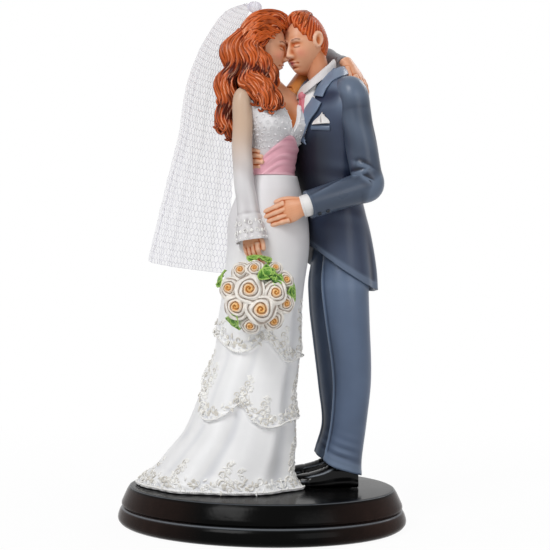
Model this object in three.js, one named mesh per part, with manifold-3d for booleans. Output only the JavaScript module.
// Wedding cake topper: a painted resin bride and groom on an oval two-tier plinth, with a tulle veil.
// Millimetres, +Z up. The origin is the centre of the plinth's underside and -Y is the front.
// Figure rows give heights above the plinth's top; lifted() carries them to the plinth and the waist.

import * as THREE from "three";
import { mergeVertices } from "three/addons/utils/BufferGeometryUtils.js";
import Module from "manifold-3d";

const wasm = await Module();
wasm.setup();

// The gap that every piece keeps to its neighbours.
const CLEARANCE = 0.3;

// Plinth: two tapering tiers with a groove between them.
const BASE_LENGTH = 89;
const BASE_DEPTH = 68;
const BASE_TURN = -12;
const BASE_LOWER_HEIGHT = 5.7;
const BASE_UPPER_HEIGHT = 6.1;
const BASE_FOOT_INSET = 1.8;
const BASE_GROOVE_INSET = 1.9;
const BASE_TOP_INSET = 3.3;
const BASE_RIM_ROUND = 0.7;
const BASE_TOP = BASE_LOWER_HEIGHT + BASE_UPPER_HEIGHT;

// Gown: three tiers, each tucked under the scalloped edge above it.
const GOWN_WAIST_HEIGHT = 94.4;
const TIER_TUCK = 0.8;
const GOWN_FOLD_DEPTH = 0.5;
const SASH_THICKNESS = 1.3;
const BODICE_THICKNESS = 0.9;
const CUP_RADIUS = 6.2;

// Heads: chin to crown, forehead to nape, and ear to ear.
const BRIDE_HEAD_HEIGHT = 16.6;
const BRIDE_HEAD_LENGTH = 14.2;
const BRIDE_HEAD_BREADTH = 11.4;
const GROOM_HEAD_HEIGHT = 18.2;
const GROOM_HEAD_LENGTH = 13.8;
const GROOM_HEAD_BREADTH = 11.6;
const NOSE_LENGTH = 1.5;
const BRIDE_HAIR_THICKNESS = 1.4;
const GROOM_HAIR_THICKNESS = 0.9;
const LOCK_WAVES = 2.5;
const LOCK_SWAY = 0.9;
const LOCK_STEPS = 14;
const BRIDE_NECK_RADIUS = 2.9;
const GROOM_NECK_RADIUS = 3.6;

// Arms and hands.
const SUIT_SLEEVE_RADIUS = 4.8;
const SUIT_WRIST_RADIUS = 4.1;
const SHIRT_CUFF_LENGTH = 2.2;
const SHIRT_CUFF_RADIUS = 3.5;
const GOWN_SLEEVE_RADIUS = 3;
const BELL_CUFF_RADIUS = 3.9;
const GROOM_HAND_LENGTH = 15.4;
const GROOM_HAND_BREADTH = 7;
const BRIDE_HAND_LENGTH = 13;
const BRIDE_HAND_BREADTH = 5.6;
const BUTTON_RADIUS = 0.55;

// Shoes.
const SHOE_LENGTH = 19.5;
const SHOE_WIDTH = 6.6;
const SHOE_HEIGHT = 8.4;

// Bouquet: a dome of roses round a core.
const BOUQUET_RADIUS = 11.2;
const CORE_RADIUS = 8;
const ROSE_PETAL_WAVE = 0.1;
const LEAF_LENGTH = 5;
const LEAF_WIDTH = 2.9;
const LEAF_THICKNESS = 0.8;

// Veil: a fan of tulle that hangs from a gather on the crown.
const VEIL_THICKNESS = 0.5;
const VEIL_FOLDS = 7;
const VEIL_FOLD_DEPTH = 0.9;
const VEIL_NEAR_ANGLE = 184;
const VEIL_FAR_ANGLE = 111;
const GATHER_RADIUS = 2;
const GATHER_HEIGHT = 3.2;

const vec = (x, y, z) => new THREE.Vector3(x, y, z);
const rad = THREE.MathUtils.degToRad;
const mix = THREE.MathUtils.lerp;
const bump = (value, middle, width) => Math.exp(-(((value - middle) / width) ** 2));

// A smooth curve through the rows of a table, each [key, value, value ...], held level past its ends.
function through(rows, key) {
  const last = rows.length - 1;
  if (key <= rows[0][0]) return rows[0].slice(1);
  if (key >= rows[last][0]) return rows[last].slice(1);
  let i = 0;
  while (key > rows[i + 1][0]) i += 1;
  const span = rows[i + 1][0] - rows[i][0];
  const t = (key - rows[i][0]) / span;
  const before = rows[Math.max(i - 1, 0)];
  const after = rows[Math.min(i + 2, last)];
  return rows[i].slice(1).map((from, k) => {
    const to = rows[i + 1][k + 1];
    const leave = ((to - before[k + 1]) / (rows[i + 1][0] - before[0])) * span;
    const arrive = ((after[k + 1] - from) / (after[0] - rows[i][0])) * span;
    const square = t * t;
    const cube = square * t;
    return (
      (2 * cube - 3 * square + 1) * from +
      (cube - 2 * square + t) * leave +
      (3 * square - 2 * cube) * to +
      (cube - square) * arrive
    );
  });
}

// The gown's outline, [height, x, y, half width, half depth, turn]; its last row is the waist.
const gownRows = [
  [0, -12.4, 0.4, 26.2, 18.6, -14],
  [3.1, -12.4, 0, 24, 17.4, -14],
  [6.1, -10.8, -0.4, 21.8, 16.4, -13],
  [11, -8.7, -1, 19.8, 15.2, -11],
  [15.9, -6.7, -1.5, 17.7, 14.2, -9],
  [20.8, -5.5, -2, 16.4, 13.4, -7],
  [30.5, -3.7, -2.5, 14.5, 12.4, -4],
  [40.2, -1.4, -2.8, 13.2, 11.8, -2],
  [50, -0.5, -3, 12.5, 11.4, 0],
  [60.3, 0.8, -3, 12.2, 11.2, 0],
  [72.5, 2.3, -3, 12.5, 11.2, 0],
  [81.6, 2.3, -3, 12.1, 10.6, 0],
  [87.7, 2.6, -3, 10.2, 9.2, 0],
  [94.4, 3.2, -3, 7.9, 7.3, 0],
];
const drawnWaist = gownRows[gownRows.length - 1][0];

// A drawn height on the real couple: stretched below the waist and carried with it above.
function lifted(height) {
  const share = GOWN_WAIST_HEIGHT / drawnWaist;
  const rise = height < drawnWaist ? height * share : height + GOWN_WAIST_HEIGHT - drawnWaist;
  return BASE_TOP + CLEARANCE + rise;
}

// A closed geometry as a solid, turned the right way out.
function toSolid(geometry) {
  geometry.deleteAttribute("normal");
  geometry.deleteAttribute("uv");
  const merged = mergeVertices(geometry, 1e-4);
  const at = merged.attributes.position;
  const corners = Array.from(merged.index.array);
  let volume = 0;
  const triangles = [];
  for (let i = 0; i < corners.length; i += 3) {
    const [a, b, c] = corners.slice(i, i + 3);
    if (a === b || b === c || c === a) continue;
    triangles.push([a, b, c]);
    const cross = vec().fromBufferAttribute(at, b).cross(vec().fromBufferAttribute(at, c));
    volume += vec().fromBufferAttribute(at, a).dot(cross);
  }
  const order = volume < 0 ? triangles.map(([a, b, c]) => [a, c, b]) : triangles;
  return new wasm.Manifold(
    new wasm.Mesh({
      numProp: 3,
      vertProperties: new Float32Array(at.array),
      triVerts: new Uint32Array(order.flat()),
    }),
  );
}

function toGeometry(solid) {
  const mesh = solid.getMesh();
  const geometry = new THREE.BufferGeometry();
  geometry.setAttribute("position", new THREE.BufferAttribute(mesh.vertProperties, 3));
  geometry.setIndex(new THREE.BufferAttribute(mesh.triVerts, 1));
  geometry.computeVertexNormals();
  return geometry;
}

// Moves every point of a geometry whose axis is upright; place() gets it with Z as that axis.
function shaped(geometry, place) {
  const at = geometry.attributes.position;
  for (let i = 0; i < at.count; i += 1) {
    const q = place(at.getX(i), -at.getZ(i), at.getY(i));
    at.setXYZ(i, q.x, q.y, q.z);
  }
  return toSolid(geometry);
}

// A solid with level oval sections, rows of [height, x, y, half width, half depth, turn].
function loft({ rows, bottom, top, sides, steps, swell = () => 0, thicken = 0 }, grow = 0) {
  const level = (edge, angle) => (typeof edge === "function" ? edge(angle) : edge);
  const middle = (edge) => {
    let sum = 0;
    for (let k = 0; k < sides; k += 1) sum += level(edge, (360 * k) / sides - 180);
    return sum / sides;
  };
  const low = middle(bottom);
  const high = middle(top);
  return shaped(new THREE.CylinderGeometry(1, 1, 1, sides, steps), (x, y, z) => {
    const angle = THREE.MathUtils.radToDeg(Math.atan2(y, x));
    const hub = Math.hypot(x, y) < 0.5;
    const from = (hub ? low : level(bottom, angle)) - grow;
    const to = (hub ? high : level(top, angle)) + grow;
    const height = mix(from, to, z + 0.5);
    const [cx, cy, wide, deep, turn = 0] = through(rows, height);
    const out = grow + thicken + (hub ? 0 : swell(angle, height));
    const c = Math.cos(rad(turn));
    const s = Math.sin(rad(turn));
    const px = x * (wide + out);
    const py = y * (deep + out);
    return vec(cx + px * c - py * s, cy + px * s + py * c, lifted(height));
  });
}

// A solid along a curve, stations of [x, y, height, half width, half thickness]; the thin way is facing.
function limb({ stations, facing, sides, steps }, grow = 0) {
  const path = new THREE.CatmullRomCurve3(stations.map(([x, y, z]) => vec(x, y, lifted(z))));
  const size = new THREE.CatmullRomCurve3(stations.map(([, , , w, d]) => vec(w, d, 0)));
  const out = vec(...facing).normalize();
  return shaped(new THREE.CylinderGeometry(1, 1, 1, sides, steps), (x, y, z) => {
    const t = z + 0.5;
    const along = path.getTangent(t);
    const across = vec().crossVectors(out, along).normalize();
    const thin = vec().crossVectors(along, across);
    const half = size.getPoint(t);
    const end = t < 1e-6 ? -grow : t > 1 - 1e-6 ? grow : 0;
    return path
      .getPoint(t)
      .addScaledVector(across, x * (half.x + grow))
      .addScaledVector(thin, y * (half.y + grow))
      .addScaledVector(along, end);
  });
}

// An ellipsoid at [x, y, height].
function ball([cx, cy, cz], [rx, ry, rz], grow = 0, sides = 12, steps = 8) {
  return shaped(new THREE.SphereGeometry(1, sides, steps), (x, y, z) =>
    vec(
      cx + x * (rx + grow),
      cy + y * (ry + grow),
      lifted(cz) + z * (rz + grow),
    ),
  );
}

const joined = (solids) => solids.reduce((all, one) => all.add(one));

// A frame at [x, y, height] that faces a heading and nods forward; local X is forward and Z is up.
function stance([x, y, z], heading, nod) {
  const turn = new THREE.Euler(0, rad(nod), rad(heading), "ZYX");
  const place = new THREE.Matrix4().makeRotationFromEuler(turn);
  place.setPosition(x, y, lifted(z));
  return place;
}

// A sphere's points as a skull with a jaw; spread pushes them all out.
function skull({ length, breadth, height }, spread, nx, ny, nz) {
  const jaw = nz < 0 ? 1 - 0.3 * nz * nz : 1;
  const nape = nx < 0 && nz < 0 ? 1 + 0.4 * nz : 1;
  return vec(
    nx * (length / 2 + spread) * nape,
    ny * (breadth / 2 + spread) * jaw,
    nz * (height / 2 + spread),
  );
}

function face(dims, place, grow) {
  return shaped(new THREE.SphereGeometry(1, 14, 11), (nx, ny, nz) => {
    const p = skull(dims, grow, nx, ny, nz);
    if (nx > 0) {
      p.x += NOSE_LENGTH * bump(ny, 0, 0.2) * bump(nz, -0.14, 0.16);
      p.x += 0.5 * bump(ny, 0, 0.3) * bump(nz, -0.72, 0.2);
      p.x += 0.4 * bump(ny, 0, 0.3) * bump(nz, -0.46, 0.12);
      p.x -= 0.6 * bump(Math.abs(ny), 0.36, 0.2) * bump(nz, 0.04, 0.14);
    }
    return p.applyMatrix4(place);
  });
}

// A cap of hair over a skull, open where the face looks out.
function cap(dims, place, thick, window, grow) {
  const hair = shaped(new THREE.SphereGeometry(1, 12, 9), (nx, ny, nz) => {
    const p = skull(dims, thick + grow, nx, ny, nz);
    return p.applyMatrix4(place);
  });
  const [wx, wz, wr] = window;
  const open = shaped(new THREE.SphereGeometry(wr - grow, 12, 8), (x, y, z) =>
    vec(wx + x, y * 1.3, wz + z).applyMatrix4(place),
  );
  return hair.subtract(open);
}

// A hand from the wrist: along the fingers, the back of the hand, its curl and the thumb's side.
function hand({ wrist, along, back, length, breadth, curl, thumb }, grow) {
  const x = vec(...along).normalize();
  const y = vec(...back).cross(x).normalize();
  const z = vec().crossVectors(x, y);
  const half = breadth / 2;
  const at = (a, b, c, w, d) => {
    const p = vec(...wrist).addScaledVector(x, a).addScaledVector(y, b).addScaledVector(z, c);
    return [p.x, p.y, p.z, w, d];
  };
  const facing = [z.x, z.y, z.z];
  const palm = limb(
    {
      stations: [
        at(-0.2 * length, 0, 0, 0.62 * half, 0.46 * half),
        at(0.08 * length, 0, 0, 0.72 * half, 0.48 * half),
        at(0.34 * length, 0, 0, half, 0.46 * half),
        at(0.52 * length, 0, -0.1 * half, 0.96 * half, 0.38 * half),
      ],
      facing,
      sides: 7,
      steps: 3,
    },
    grow,
  );
  const finger = (side, reach, thick) => {
    const stations = [0, 0.33, 0.67, 1].map((share) => {
      const bend = rad(curl * share);
      const run = share * reach * (1 - 0.3 * Math.abs(Math.sin(bend)));
      const drop = share * reach * Math.sin(bend) * 0.6;
      const slim = thick * (1 - 0.3 * share);
      return at(0.46 * length + run, side * half, -drop, slim, slim);
    });
    return limb({ stations, facing, sides: 5, steps: 2 }, grow);
  };
  const fingers = [
    finger(0.78 * thumb, 0.46 * length, 0.25 * half),
    finger(0.27 * thumb, 0.53 * length, 0.26 * half),
    finger(-0.25 * thumb, 0.5 * length, 0.25 * half),
    finger(-0.74 * thumb, 0.4 * length, 0.22 * half),
  ];
  const stub = limb(
    {
      stations: [
        at(0.08 * length, 0.5 * thumb * half, -0.05 * half, 0.34 * half, 0.34 * half),
        at(0.26 * length, 1.15 * thumb * half, -0.2 * half, 0.3 * half, 0.3 * half),
        at(0.46 * length, 1.3 * thumb * half, -0.4 * half, 0.2 * half, 0.2 * half),
      ],
      facing,
      sides: 5,
      steps: 2,
    },
    grow,
  );
  return joined([palm, ...fingers, stub]);
}

// Two straight bones with a rounded elbow, each joint [x, y, height]; the sleeve's head reaches inward.
function arm([shoulder, elbow, wrist], [top, bend, end], inward, grow) {
  const root = shoulder.map((s, i) => s + inward[i] * top);
  const along = (share) => {
    const half = mix(top, bend, share);
    return [...between(shoulder, elbow, share), half, half];
  };
  const upper = limb(
    {
      stations: [
        [...root, top * 0.7, top * 0.7],
        [...shoulder, top * 0.96, top * 0.96],
        along(0.4),
        along(1),
      ],
      facing: [0.3, 1, 0.1],
      sides: 10,
      steps: 6,
    },
    grow,
  );
  const lower = limb(
    {
      stations: [
        [...elbow, bend, bend],
        [...between(elbow, wrist, 0.5), mix(bend, end, 0.4), mix(bend, end, 0.4)],
        [...wrist, end, end],
      ],
      facing: [0.3, 1, 0.1],
      sides: 10,
      steps: 2,
    },
    grow,
  );
  return joined([upper, lower, ball(elbow, [bend, bend, bend], grow, 10, 6)]);
}

const between = (a, b, share) => a.map((v, i) => mix(v, b[i], share));

// Joints, [x, y, height]; sleeves, cuffs and hands share them.
const groomLeft = { shoulder: [27.4, -8, 118.8], elbow: [32.2, -11, 90.8], wrist: [13.4, -15.6, 84.6] };
const groomRight = { shoulder: [13.2, 12.8, 116.4], elbow: [3.6, 14.6, 103.4], wrist: [-4.9, 2.2, 100.8] };
const brideRight = { shoulder: [-5.2, -9.8, 117.2], elbow: [-5.4, -11.4, 97], wrist: [-2.8, -13.6, 77.6] };
const brideLeft = { shoulder: [9.4, 4.2, 120.2], elbow: [20, 14.8, 134.2], wrist: [26.4, 7.6, 129] };

const brideHead = {
  dims: { length: BRIDE_HEAD_LENGTH, breadth: BRIDE_HEAD_BREADTH, height: BRIDE_HEAD_HEIGHT },
  place: stance([0.6, -0.4, 135.6], -6, 4),
};
const groomHead = {
  dims: { length: GROOM_HEAD_LENGTH, breadth: GROOM_HEAD_BREADTH, height: GROOM_HEAD_HEIGHT },
  place: stance([14.2, 2.2, 135], 226, 8),
};

// Heights of the gown's two scalloped edges round the figure, [angle, height]; -90 is the front.
const upperEdge = [
  [-180, 47.5], [-150, 45], [-125, 42], [-110, 41.2], [-95, 42], [-78, 44.8], [-62, 41.8],
  [-45, 38.2], [-10, 39.4], [30, 40], [60, 42], [90, 45], [135, 47], [180, 47.5],
];
const lowerEdge = [
  [-180, 36], [-155, 30], [-138, 22.5], [-122, 20.8], [-105, 22.5], [-90, 26], [-75, 21.5],
  [-55, 19], [-30, 20], [-5, 21], [30, 24], [60, 29], [90, 33], [135, 36], [180, 36],
];
const foldAt = (angle, height) => {
  const depth = GOWN_FOLD_DEPTH * (1 - through([[5, 0], [60, 0.75], [75, 1]], height)[0]);
  return depth * (Math.cos(rad(7 * angle + 40)) + 0.6 * Math.cos(rad(11 * angle + 100)));
};
const edgeAt = (rows) => (angle) => through(rows, angle)[0];
const below = (rows) => (angle) => through(rows, angle)[0] - CLEARANCE;

// The bride's trunk; its rows are turned so that she looks half towards the groom.
const chestRows = [
  [93, 3.2, -3, 6.4, 5.5, 43],
  [98, 3.5, -3, 6.2, 5.3, 43],
  [104, 3.9, -3, 7, 5.9, 43],
  [110, 4.2, -2.8, 8.4, 6.3, 43],
  [116, 3.9, -2.4, 10, 5.8, 43],
  [119.5, 3.5, -2, 10, 4.6, 43],
  [121.5, 3.1, -1.6, 6.8, 3.8, 43],
  [123.4, 2.8, -1.2, 3.6, 3.3, 43],
];
const sashTop = [
  [-180, 101.2], [-150, 101], [-120, 103.6], [-92, 105.6], [-60, 103], [-30, 101.4], [180, 101.2],
];
const bodiceTop = [
  [-180, 115], [-150, 117.5], [-125, 118], [-104, 117], [-97, 114.5], [-90, 110], [-83, 106.4], [-76, 109.4],
  [-66, 113.6], [-56, 116], [-30, 116.4], [0, 115], [90, 112], [180, 115],
];

// The groom's tailcoat; angle 0 of a section is his left side, -90 his front and 90 his back.
const coatRows = [
  [58, 25.2, 4.6, 12, 10.4, -57],
  [66, 24.7, 4.3, 11.9, 10.4, -57],
  [77, 23.5, 3.8, 11.6, 9.8, -57],
  [87, 21.9, 3, 11.2, 8.6, -57],
  [93, 21.2, 2.7, 11.4, 8.6, -57],
  [101, 20.6, 2.4, 12.4, 9, -57],
  [109, 20.2, 2.2, 13.4, 9.2, -57],
  [114, 20.1, 2.1, 13.6, 8.6, -57],
  [118, 20.2, 2.1, 13, 7.2, -57],
  [121.5, 20.6, 2.1, 12.2, 6.4, -57],
  [125, 21.4, 2.2, 7, 5, -57],
  [128, 22, 2.2, 3.6, 3.4, -57],
];
const coatHem = [
  [-180, 66], [-140, 69], [-105, 72.6], [-86, 72.4], [-55, 68.6], [-32, 65.2], [-9, 62.3], [17, 60.4],
  [45, 59.6], [90, 59.2], [135, 61], [180, 66],
];
// A trouser hem sits lower behind the heel, at angle 0, than over the instep.
const trouserHem = [[-180, 8.6], [-90, 5.6], [0, 3.4], [90, 5.6], [180, 8.6]];
const leftLegRows = [
  [3.2, 24.4, -3.4, 6.3, 5.2],
  [8.3, 25, -3.4, 5.8, 5],
  [19.5, 26.9, -3, 5.4, 5.2],
  [32.9, 27.9, -2.6, 5.8, 5.8],
  [50, 26.6, -2, 6.7, 6.5],
  [58, 26, -1.4, 7.1, 6.9],
  [68, 25.6, -0.2, 7.3, 7],
  [78, 25, 0.4, 6.8, 6.6],
];
const rightLegRows = [
  [3.2, 21.2, 12.6, 5.2, 4.8],
  [8.3, 22, 12.4, 4.9, 4.7],
  [17.4, 24.2, 11.8, 4.6, 4.6],
  [28.5, 23.6, 11.2, 5, 5],
  [44.3, 22.5, 10.4, 5.8, 5.8],
  [53.8, 22.1, 9.8, 6.5, 6.4],
  [66, 22.2, 8.8, 7.1, 6.9],
  [78, 22.4, 8, 6.8, 6.6],
];

// The veil's outline behind the crown: [share of its length, distance out, height].
const crown = [-1.9, 0, 147.4];
const veilRows = [
  [0, GATHER_RADIUS + CLEARANCE, 147.6],
  [0.06, 8, 145.6],
  [0.1, 11.4, 142.2],
  [0.15, 14, 138.2],
  [0.22, 17, 132.6],
  [0.31, 20, 124.4],
  [0.4, 21.7, 116.4],
  [0.5, 22.8, 108],
  [0.65, 26, 95.4],
  [0.8, 29.1, 83],
  [1, 32.6, 68.6],
];

// Roses on the dome, [out x, out y, out z, radius], and leaves between them, [x, y, z, spin].
const bouquet = [-0.8, -19.6, 58.2];
const roses = [
  [-0.47, -0.42, 0.72, 2.3], [-0.11, -0.5, 0.8, 2.2], [0.4, -0.35, 0.86, 2.1], [0.8, -0.35, 0.47, 2.3],
  [-0.78, -0.5, 0.19, 2.9], [-0.25, -0.95, 0.2, 3.6], [0.52, -0.8, 0.08, 3], [0.82, -0.5, -0.22, 2.4],
  [-0.62, -0.7, -0.33, 3.6], [0.1, -0.9, -0.42, 4.1], [-0.18, -0.45, -0.87, 2.6], [0.5, -0.5, -0.78, 2.8],
];
const leaves = [
  [-0.08, -0.25, 1.02, 90], [0.2, -0.2, 1, 70], [0.27, -0.72, 0.6, 30], [0.55, -0.7, 0.38, 100],
  [0.95, -0.3, 0.1, 0], [-0.98, -0.2, 0.42, 150], [-0.62, -0.5, -0.66, 220],
];

// A rose's petals as rings of [radius, height] in shares of its radius, and the plain bud that encloses them.
const petals = [
  [0, -0.75], [0.7, -0.5], [1, 0.1], [0.96, 0.32], [0.66, 0.16], [0.62, 0.52], [0.34, 0.36], [0.26, 0.66],
  [0, 0.6],
];
const bud = [[0, -0.8], [0.75, -0.55], [1.12, 0.1], [1.08, 0.36], [0.72, 0.6], [0.3, 0.72], [0, 0.72]];

function rose([ox, oy, oz, radius], grow) {
  const out = vec(ox, oy, oz).normalize();
  const turn = new THREE.Quaternion().setFromUnitVectors(vec(0, 0, 1), out);
  const reach = BOUQUET_RADIUS - 0.45 * radius;
  const centre = vec(bouquet[0], bouquet[1], lifted(bouquet[2])).addScaledVector(out, reach);
  const profile = (grow > 0 ? bud : petals).map(
    ([r, z]) => new THREE.Vector2(r * radius + (r > 0 ? grow : 0), z * radius + Math.sign(z) * grow),
  );
  return shaped(new THREE.LatheGeometry(profile, 8), (x, y, z) => {
    const far = Math.min(1, Math.hypot(x, y) / radius);
    const wave = grow > 0 ? 1 : 1 + ROSE_PETAL_WAVE * Math.cos(3 * Math.atan2(y, x) + 4 * z) * far;
    return vec(x * wave, y * wave, z).applyQuaternion(turn).add(centre);
  });
}

function leaf([ox, oy, oz, spin], grow) {
  const shape = new THREE.Shape();
  shape.moveTo(-LEAF_LENGTH / 2 - grow, 0);
  shape.quadraticCurveTo(0, -LEAF_WIDTH - 2 * grow, LEAF_LENGTH / 2 + grow, 0);
  shape.quadraticCurveTo(0, LEAF_WIDTH + 2 * grow, -LEAF_LENGTH / 2 - grow, 0);
  const blade = new THREE.ExtrudeGeometry(shape, {
    depth: LEAF_THICKNESS + 2 * grow,
    bevelEnabled: false,
    curveSegments: 4,
  });
  const out = vec(ox, oy, oz);
  const turn = new THREE.Quaternion()
    .setFromUnitVectors(vec(0, 0, 1), out.clone().normalize())
    .multiply(new THREE.Quaternion().setFromAxisAngle(vec(0, 0, 1), rad(spin)));
  const centre = vec(bouquet[0], bouquet[1], lifted(bouquet[2]));
  centre.addScaledVector(out, BOUQUET_RADIUS - LEAF_THICKNESS);
  const at = blade.attributes.position;
  for (let i = 0; i < at.count; i += 1) {
    const z = at.getZ(i) - grow - 0.05 * at.getX(i) ** 2;
    const p = vec(at.getX(i), at.getY(i), z).applyQuaternion(turn).add(centre);
    at.setXYZ(i, p.x, p.y, p.z);
  }
  return toSolid(blade);
}

function veil(grow) {
  const across = 21;
  const down = 11;
  const box = new THREE.BoxGeometry(1, 1, 1, across, down, 1);
  const at = box.attributes.position;
  for (let i = 0; i < at.count; i += 1) {
    const share = at.getX(i) * (1 + (2 * grow) / 30) + 0.5;
    const t = 0.5 - at.getY(i);
    const [reach, height] = through(veilRows, t);
    const angle = rad(mix(VEIL_NEAR_ANGLE, VEIL_FAR_ANGLE, share));
    const fold = VEIL_FOLD_DEPTH * Math.min(1, 0.25 + t) * Math.cos(2 * Math.PI * VEIL_FOLDS * share);
    const layer = at.getZ(i) * (VEIL_THICKNESS + 2 * grow);
    const slope = t < 0.08 ? 0.35 : 1;
    const rise = layer * Math.sqrt(1 - slope * slope);
    const inward = t < 1e-6 ? grow : 0;
    const out = reach * (1 - 0.2 * share) + fold * Math.min(1, 3 * t) + layer * slope - inward;
    const end = t > 1 - 1e-6 ? -grow : 0;
    at.setXYZ(
      i,
      crown[0] + out * Math.cos(angle),
      crown[1] + out * Math.sin(angle),
      lifted(height - 2.6 * share * t) + rise + end,
    );
  }
  return toSolid(box);
}

function plinth() {
  const long = BASE_LENGTH / 2;
  const profile = [
    [0, 0],
    [long - BASE_FOOT_INSET, 0],
    [long - BASE_FOOT_INSET * 0.45, BASE_LOWER_HEIGHT * 0.12],
    [long, BASE_LOWER_HEIGHT * 0.36],
    [long - BASE_GROOVE_INSET * 0.5, BASE_LOWER_HEIGHT * 0.9],
    [long - BASE_GROOVE_INSET, BASE_LOWER_HEIGHT],
    [long - BASE_GROOVE_INSET * 0.6, BASE_LOWER_HEIGHT + 0.5],
    [long - BASE_TOP_INSET, BASE_TOP - BASE_RIM_ROUND],
    [long - BASE_TOP_INSET - BASE_RIM_ROUND * 0.3, BASE_TOP - BASE_RIM_ROUND * 0.3],
    [long - BASE_TOP_INSET - BASE_RIM_ROUND, BASE_TOP],
    [0, BASE_TOP],
  ].map(([r, z]) => new THREE.Vector2(r, z));
  const narrow = (BASE_LENGTH - BASE_DEPTH) / 2;
  const c = Math.cos(rad(BASE_TURN));
  const s = Math.sin(rad(BASE_TURN));
  return shaped(new THREE.LatheGeometry(profile, 32), (x, y, z) => {
    const far = Math.hypot(x, y);
    const slim = far > narrow ? (far - narrow) / far : 0;
    return vec(x * c - y * slim * s, x * s + y * slim * c, z);
  });
}

// A shoe from heel to toe, flat below.
function shoe([x, y], heading, grow) {
  const turn = rad(heading);
  const along = vec(Math.cos(turn), Math.sin(turn), 0);
  const side = vec(-along.y, along.x, 0);
  const half = SHOE_WIDTH / 2;
  const rows = [
    [0, half * 0.72, SHOE_HEIGHT * 0.86],
    [0.12, half * 0.86, SHOE_HEIGHT],
    [0.34, half * 0.84, SHOE_HEIGHT * 0.9],
    [0.55, half * 0.94, SHOE_HEIGHT * 0.64],
    [0.76, half, SHOE_HEIGHT * 0.5],
    [0.92, half * 0.78, SHOE_HEIGHT * 0.42],
    [1, half * 0.4, SHOE_HEIGHT * 0.3],
  ];
  return shaped(new THREE.CylinderGeometry(1, 1, 1, 10, 8), (px, py, pz) => {
    const share = pz + 0.5;
    const [wide, tall] = through(rows, share);
    const end = share < 1e-6 ? -grow : share > 1 - 1e-6 ? grow : 0;
    const rise = Math.max(-0.62, py) / 1.62 + 0.38;
    return vec(x, y, lifted(0) - grow)
      .addScaledVector(along, share * SHOE_LENGTH + end)
      .addScaledVector(side, -px * (wide + grow))
      .add(vec(0, 0, rise * (tall + 2 * grow)));
  });
}

// A lock of hair along its stations, which sways from side to side towards its tip.
function lock(stations, grow) {
  const path = new THREE.CatmullRomCurve3(stations.map(([x, y, z]) => vec(x, y, z)));
  const size = new THREE.CatmullRomCurve3(stations.map(([, , , w, d]) => vec(w, d, 0)));
  const waved = [];
  for (let k = 0; k <= LOCK_STEPS; k += 1) {
    const t = k / LOCK_STEPS;
    const p = path.getPoint(t);
    const half = size.getPoint(t);
    const sway = LOCK_SWAY * Math.min(1, 2 * t) * Math.sin(2 * Math.PI * LOCK_WAVES * t);
    waved.push([p.x + sway, p.y, p.z, half.x, half.y]);
  }
  return limb({ stations: waved, facing: [-0.2, -1, 0.15], sides: 7, steps: LOCK_STEPS }, grow);
}
const frontLocks = [
  [[-0.6, -5.6, 137, 2.2, 1.5], [-2.6, -7.2, 131.5, 2.6, 1.9], [-2.4, -9, 125, 2.8, 1.9],
    [-0.6, -10.4, 119.6, 2.6, 1.8], [-0.8, -10.8, 114, 0.6, 0.6]],
  [[0, -5.8, 134, 1.4, 1.4], [-0.6, -7.2, 130, 1.8, 1.8], [1.2, -9, 124, 2.7, 1.9],
    [2.6, -10.2, 118.6, 2.6, 1.7], [0.6, -10.8, 111.4, 0.6, 0.6]],
  [[0.6, -5.4, 131, 1, 1.2], [1.4, -6.8, 127, 1.5, 1.5], [4.2, -8, 122.4, 2.2, 1.6],
    [5.6, -8.8, 118, 2.2, 1.5], [7.6, -9.2, 114, 0.6, 0.6]],
];
const backLocks = [
  [[-4.4, -4.4, 140, 3, 2.2], [-8, -5, 132.5, 3, 2.4], [-8.4, -5.4, 126, 2.7, 2.1],
    [-10.4, -5.2, 120, 2.7, 2.1], [-10.9, -5, 114.5, 2.5, 2], [-9.6, -5.4, 108, 2.3, 1.9],
    [-10, -5.4, 102.6, 0.9, 0.9]],
  [[-5, -0.6, 141, 3, 2.6], [-8, -0.4, 132, 3.2, 3], [-8, 0.4, 123.5, 3, 2.8],
    [-9, 0.4, 116, 2.8, 2.4], [-8.2, 0.4, 110.4, 0.7, 0.7]],
  [[-3.6, 4.4, 141, 2.8, 2.2], [-5.4, 6, 132, 3, 2.4], [-4.8, 6, 124, 2.8, 2.2],
    [-5.8, 5.8, 117, 2.6, 2], [-4.8, 6, 111, 0.7, 0.7]],
];

// Strips round the groom's neck and down his chest.
const lapelStations = [
  [12.8, -2.6, 105, 0.8, 0.6], [13.8, -4.4, 110.5, 1.9, 0.8], [15.8, -6.2, 115, 2.6, 0.9],
  [18.8, -6.6, 119.5, 2.1, 0.9], [21.6, -4.8, 124.2, 1.9, 0.9], [23.8, -1.4, 128, 1.8, 0.9],
  [24.4, 2, 129.2, 1.7, 0.9],
];
// The shirt collar stands round the neck, low under the chin and high at the nape.
const collarRows = [
  [116, 16, 1.2, 4.4, 6],
  [121, 16.6, 1.2, 4.6, 5.8],
  [126, 17.6, 1.4, 4.6, 5.2],
  [131, 18.2, 1.6, 4.4, 4.8],
];
const collarTop = [
  [-180, 120.4], [-120, 122.8], [-60, 127.6], [0, 130.4], [60, 127.6], [120, 122.8], [180, 120.4],
];
// The same strips on his right side, mirrored through the middle of his chest.
const mirrored = (stations) =>
  stations.map(([x, y, z, w, d]) => {
    const off = (x - 20.4) * Math.cos(rad(-57)) + (y - 2.2) * Math.sin(rad(-57));
    return [x - 2 * off * Math.cos(rad(-57)), y - 2 * off * Math.sin(rad(-57)), z, w, d];
  });

const skin = 0xd9ab8c;
const hairRed = 0xa8471f;
const white = 0xe9e9ec;
const suit = 0x4c5566;
const cream = 0xf0e2d2;

// Pieces in the order of making: each is cut clear of all those before it.
const pieces = [];
const piece = (name, color, roughness, make) => pieces.push({ name, color, roughness, make });

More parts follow.
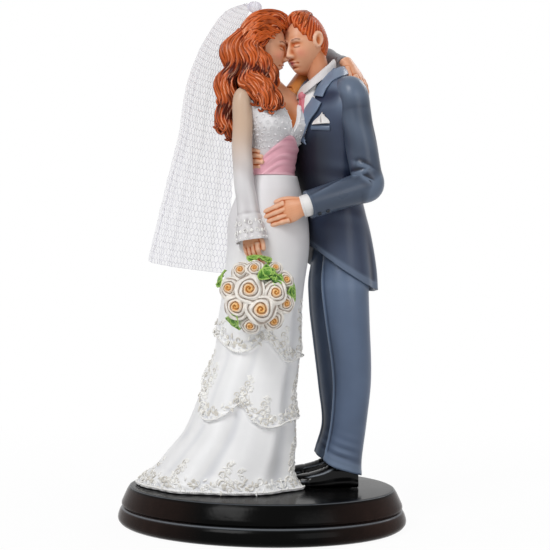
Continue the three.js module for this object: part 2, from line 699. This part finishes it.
piece("plinth", 0x2b2725, 0.35, () => plinth());
piece("veil", 0xdcdce6, 0.9, (grow) => veil(grow));
piece("veil_gather", 0xdcdce6, 0.9, (grow) =>
  ball(
    [crown[0], crown[1], crown[2] - GATHER_HEIGHT * 0.3],
    [GATHER_RADIUS, GATHER_RADIUS, GATHER_HEIGHT / 2],
    grow,
    10,
    6,
  ),
);

piece("gown_upper_skirt", white, 0.5, (grow) =>
  loft(
    {
      rows: gownRows,
      bottom: edgeAt(upperEdge),
      top: drawnWaist - CLEARANCE,
      sides: 28,
      steps: 7,
      swell: foldAt,
    },
    grow,
  ),
);
piece("gown_middle_tier", white, 0.5, (grow) =>
  loft(
    {
      rows: gownRows,
      bottom: edgeAt(lowerEdge),
      top: below(upperEdge),
      sides: 28,
      steps: 4,
      swell: (angle, height) => foldAt(angle, height) - TIER_TUCK * 0.5,
    },
    grow,
  ),
);
piece("gown_train", white, 0.5, (grow) =>
  loft(
    {
      rows: gownRows,
      bottom: 0,
      top: below(lowerEdge),
      sides: 28,
      steps: 5,
      swell: (angle, height) => foldAt(angle, height) - TIER_TUCK,
    },
    grow,
  ),
);
piece("bride_sash", 0xcd8ca0, 0.4, (grow) =>
  loft(
    {
      rows: chestRows,
      bottom: drawnWaist,
      top: edgeAt(sashTop),
      sides: 20,
      steps: 3,
      thicken: SASH_THICKNESS,
    },
    grow,
  ),
);
piece("bride_bodice", white, 0.5, (grow) =>
  joined([
    loft(
      {
        rows: chestRows,
        bottom: 98,
        top: edgeAt(bodiceTop),
        sides: 18,
        steps: 4,
        thicken: BODICE_THICKNESS,
      },
      grow,
    ),
    ball([3.4, -8, 109.2], [CUP_RADIUS * 0.97, CUP_RADIUS * 0.84, CUP_RADIUS * 1.04], grow, 12, 8),
    ball([9, -2.6, 111.4], [CUP_RADIUS * 0.72, CUP_RADIUS * 0.84, CUP_RADIUS], grow, 10, 8),
  ]),
);
piece("groom_tailcoat", suit, 0.5, (grow) =>
  loft({ rows: coatRows, bottom: edgeAt(coatHem), top: 127.4, sides: 20, steps: 11 }, grow),
);
piece("bride_chest", skin, 0.45, (grow) =>
  loft({ rows: chestRows, bottom: 103, top: 123.4, sides: 14, steps: 6 }, grow),
);
piece("bride_hair", hairRed, 0.35, (grow) =>
  joined([
    cap(brideHead.dims, brideHead.place, BRIDE_HAIR_THICKNESS, [10.5, -3.6, 8.8], grow),
    ...backLocks.map((stations) => lock(stations, grow)),
  ]),
);
piece("groom_hair", hairRed, 0.35, (grow) =>
  cap(groomHead.dims, groomHead.place, GROOM_HAIR_THICKNESS, [10, -5.4, 12.2], grow),
);
piece("groom_head", skin, 0.45, (grow) =>
  joined([
    face(groomHead.dims, groomHead.place, grow),
    limb(
      {
        stations: [
          [19.6, 2.4, 121, GROOM_NECK_RADIUS, GROOM_NECK_RADIUS],
          [18.4, 2.2, 125, GROOM_NECK_RADIUS, GROOM_NECK_RADIUS],
          [16.4, 2, 132, GROOM_NECK_RADIUS, GROOM_NECK_RADIUS],
        ],
        facing: [0, 1, 0],
        sides: 8,
        steps: 3,
      },
      grow,
    ),
    ...[1, -1].map((side) =>
      shaped(new THREE.SphereGeometry(1, 8, 6), (x, y, z) =>
        vec(
          -0.2 + x * (1.2 + grow),
          side * (GROOM_HEAD_BREADTH / 2 + 0.2) + y * (0.8 + grow),
          -0.4 + z * (2.2 + grow),
        ).applyMatrix4(groomHead.place),
      ),
    ),
  ]),
);
piece("bride_head", skin, 0.45, (grow) =>
  joined([
    face(brideHead.dims, brideHead.place, grow),
    limb(
      {
        stations: [
          [2.9, -1.3, 121, BRIDE_NECK_RADIUS, BRIDE_NECK_RADIUS],
          [2.4, -1.1, 125, BRIDE_NECK_RADIUS, BRIDE_NECK_RADIUS],
          [1.2, -0.6, 132, BRIDE_NECK_RADIUS, BRIDE_NECK_RADIUS],
        ],
        facing: [0, 1, 0],
        sides: 8,
        steps: 3,
      },
      grow,
    ),
  ]),
);

const suitArm = (joints, inward, grow) =>
  arm(
    [joints.shoulder, joints.elbow, between(joints.elbow, joints.wrist, 0.96)],
    [SUIT_SLEEVE_RADIUS, SUIT_SLEEVE_RADIUS * 0.96, SUIT_WRIST_RADIUS],
    inward,
    grow,
  );
piece("groom_left_sleeve", suit, 0.5, (grow) => suitArm(groomLeft, [-0.55, 0.78, 0.3], grow));
piece("groom_right_sleeve", suit, 0.5, (grow) => suitArm(groomRight, [0.55, -0.78, 0.3], grow));
// A sleeve of the gown: it starts inside the shoulder and flares into a bell below a rounded elbow.
const gownSleeve = ({ shoulder, elbow, wrist }, inward, facing, grow) => {
  const round = GOWN_SLEEVE_RADIUS;
  const ring = (from, to, [share, size]) => [...between(from, to, share), round * size, round * size];
  const root = shoulder.map((s, i) => s + inward[i] * round);
  const upper = [[0, 0.94], [0.35, 1], [0.75, 1], [1, 1]].map((row) => ring(shoulder, elbow, row));
  upper.unshift([...root, round * 0.66, round * 0.66]);
  const lower = [[0, 1], [0.5, 1.04], [0.75, 1.14]].map((row) => ring(elbow, wrist, row));
  lower.push([...between(elbow, wrist, 1.06), BELL_CUFF_RADIUS, BELL_CUFF_RADIUS]);
  return joined([
    limb({ stations: upper, facing, sides: 10, steps: 7 }, grow),
    limb({ stations: lower, facing, sides: 10, steps: 5 }, grow),
    ball(elbow, [round, round, round], grow, 10, 6),
  ]);
};
piece("bride_right_sleeve", white, 0.55, (grow) =>
  gownSleeve(brideRight, [0.7, 0.64, 0.4], [-0.6, 0.8, 0], grow),
);
piece("bride_left_sleeve", white, 0.55, (grow) =>
  gownSleeve(brideLeft, [-0.69, -0.7, 0.1], [0.22, 0.69, -0.69], grow),
);
piece("bride_hair_front", hairRed, 0.35, (grow) =>
  joined(frontLocks.map((stations) => lock(stations, grow))),
);

const cuff = (joints, along, grow) =>
  limb(
    {
      stations: [-0.8, 0, SHIRT_CUFF_LENGTH].map((reach) => {
        const p = vec(...joints.wrist).addScaledVector(vec(...along).normalize(), reach - 0.4);
        return [p.x, p.y, p.z, SHIRT_CUFF_RADIUS, SHIRT_CUFF_RADIUS * 0.92];
      }),
      facing: [0, 0.3, 1],
      sides: 12,
      steps: 2,
    },
    grow,
  );
piece("groom_left_cuff", 0xe4e2dc, 0.6, (grow) => cuff(groomLeft, [-1, 0.05, -0.3], grow));
piece("groom_right_cuff", 0xe4e2dc, 0.6, (grow) => cuff(groomRight, [-0.1, -1, -0.15], grow));
piece("groom_left_hand", skin, 0.45, (grow) =>
  hand(
    {
      wrist: groomLeft.wrist,
      along: [-1, 0.16, -0.26],
      back: [0.05, -1, 0.12],
      length: GROOM_HAND_LENGTH,
      breadth: GROOM_HAND_BREADTH,
      curl: 16,
      thumb: -1,
    },
    grow,
  ),
);
piece("groom_right_hand", skin, 0.45, (grow) =>
  hand(
    {
      wrist: groomRight.wrist,
      along: [0.06, -1, -0.1],
      back: [-1, -0.06, 0.05],
      length: GROOM_HAND_LENGTH,
      breadth: GROOM_HAND_BREADTH,
      curl: 44,
      thumb: -1,
    },
    grow,
  ),
);
piece("bride_left_hand", skin, 0.45, (grow) =>
  hand(
    {
      wrist: brideLeft.wrist,
      along: [0.5, -0.62, -0.6],
      back: [0.8, 0.45, 0.4],
      length: BRIDE_HAND_LENGTH,
      breadth: BRIDE_HAND_BREADTH,
      curl: 26,
      thumb: -1,
    },
    grow,
  ),
);
piece("bride_right_hand", skin, 0.45, (grow) =>
  hand(
    {
      wrist: brideRight.wrist,
      along: [0.12, -0.22, -1],
      back: [-0.9, -0.4, 0],
      length: BRIDE_HAND_LENGTH,
      breadth: BRIDE_HAND_BREADTH,
      curl: 70,
      thumb: 1,
    },
    grow,
  ),
);

roses.forEach((place, i) => {
  piece(`rose_${i + 1}`, cream, 0.6, (grow) => rose(place, grow));
});
leaves.forEach((place, i) => {
  piece(`leaf_${i + 1}`, 0x5f9a34, 0.55, (grow) => leaf(place, grow));
});
piece("bouquet_core", 0x3c5f24, 0.7, (grow) =>
  ball(bouquet, [CORE_RADIUS, CORE_RADIUS * 0.8, CORE_RADIUS], grow, 12, 8),
);

// Two buttons stand on the sleeve's surface, at a share of the way from elbow to wrist.
const cuffButton = (share, grow) => {
  const reach = mix(SUIT_SLEEVE_RADIUS, SUIT_WRIST_RADIUS, share) + BUTTON_RADIUS * 0.3;
  const out = vec(0.4, -0.55, -0.8).setLength(reach);
  const [x, y, z] = between(groomLeft.elbow, groomLeft.wrist, share);
  return ball([x + out.x, y + out.y, z + out.z], [BUTTON_RADIUS, BUTTON_RADIUS, BUTTON_RADIUS], grow, 8, 6);
};
piece("groom_cuff_button_1", 0x20232b, 0.3, (grow) => cuffButton(0.87, grow));
piece("groom_cuff_button_2", 0x20232b, 0.3, (grow) => cuffButton(0.74, grow));
const strip = (stations, facing, grow) => limb({ stations, facing, sides: 6, steps: 8 }, grow);
piece("groom_left_lapel", 0x434b5a, 0.5, (grow) => strip(lapelStations, [-0.1, -0.9, 0.45], grow));
piece("groom_right_lapel", 0x434b5a, 0.5, (grow) =>
  strip(mirrored(lapelStations), [-0.7, 0.5, 0.45], grow),
);
piece("groom_shirt_collar", 0xe4e2dc, 0.6, (grow) =>
  loft({ rows: collarRows, bottom: 116, top: edgeAt(collarTop), sides: 16, steps: 3 }, grow),
);
piece("groom_tie", 0xc25468, 0.45, (grow) =>
  joined([
    ball([12.2, -2.4, 118.6], [1.3, 1.5, 1.5], grow, 8, 6),
    limb(
      {
        stations: [[12.3, -2.3, 118.4, 1, 0.7], [12.1, -2.2, 113, 1.7, 0.8], [11.9, -1.9, 107, 2, 0.8]],
        facing: [-0.84, -0.55, 0.2],
        sides: 6,
        steps: 3,
      },
      grow,
    ),
  ]),
);
piece("groom_pocket_square", 0xe2e2de, 0.7, (grow) =>
  limb(
    {
      stations: [[17.7, -8.5, 110.4, 2.5, 0.8], [17.7, -8.5, 112.6, 1.9, 0.9], [16.9, -8, 115.4, 0.4, 0.5]],
      facing: [-0.54, -0.84, 0.1],
      sides: 6,
      steps: 2,
    },
    grow,
  ),
);
piece("groom_shirt", 0xe4e2dc, 0.6, (grow) =>
  limb(
    {
      stations: [
        [13.4, -2.2, 108, 2.6, 1.4],
        [13.8, -2, 113, 3.6, 2.2],
        [15, -1.2, 118, 4, 3],
        [17.6, 0.6, 122, 3.6, 3.4],
      ],
      facing: [-0.84, -0.55, 0.3],
      sides: 10,
      steps: 5,
    },
    grow,
  ),
);
const shoeAt = [[29.6, -3, 182], [28.6, 12.6, 178]];
piece("groom_left_shoe", 0x16161a, 0.2, (grow) => shoe(shoeAt[0], shoeAt[0][2], grow));
piece("groom_right_shoe", 0x16161a, 0.2, (grow) => shoe(shoeAt[1], shoeAt[1][2], grow));
piece("groom_left_trouser_leg", suit, 0.5, (grow) =>
  loft({ rows: leftLegRows, bottom: edgeAt(trouserHem), top: 78, sides: 14, steps: 7 }, grow),
);
piece("groom_right_trouser_leg", suit, 0.5, (grow) =>
  loft({ rows: rightLegRows, bottom: edgeAt(trouserHem), top: 78, sides: 14, steps: 7 }, grow),
);

// Cuts each piece clear of the earlier ones and keeps its largest body.
const overlaps = (a, b) =>
  [0, 1, 2].every((i) => a.min[i] < b.max[i] && b.min[i] < a.max[i]);
const topper = new THREE.Group();
topper.name = "cake_topper";
const made = [];
for (const { name, color, roughness, make } of pieces) {
  let solid = make(0);
  for (const other of made) {
    if (overlaps(solid.boundingBox(), other.box)) solid = solid.subtract(other.grown);
  }
  const bodies = solid.decompose().sort((a, b) => b.volume() - a.volume());
  solid = bodies[0];
  const grown = make(CLEARANCE);
  made.push({ grown, box: grown.boundingBox() });
  const mesh = new THREE.Mesh(
    toGeometry(solid),
    new THREE.MeshStandardMaterial({ color, roughness, metalness: 0 }),
  );
  mesh.name = name;
  topper.add(mesh);
}

export default topper;
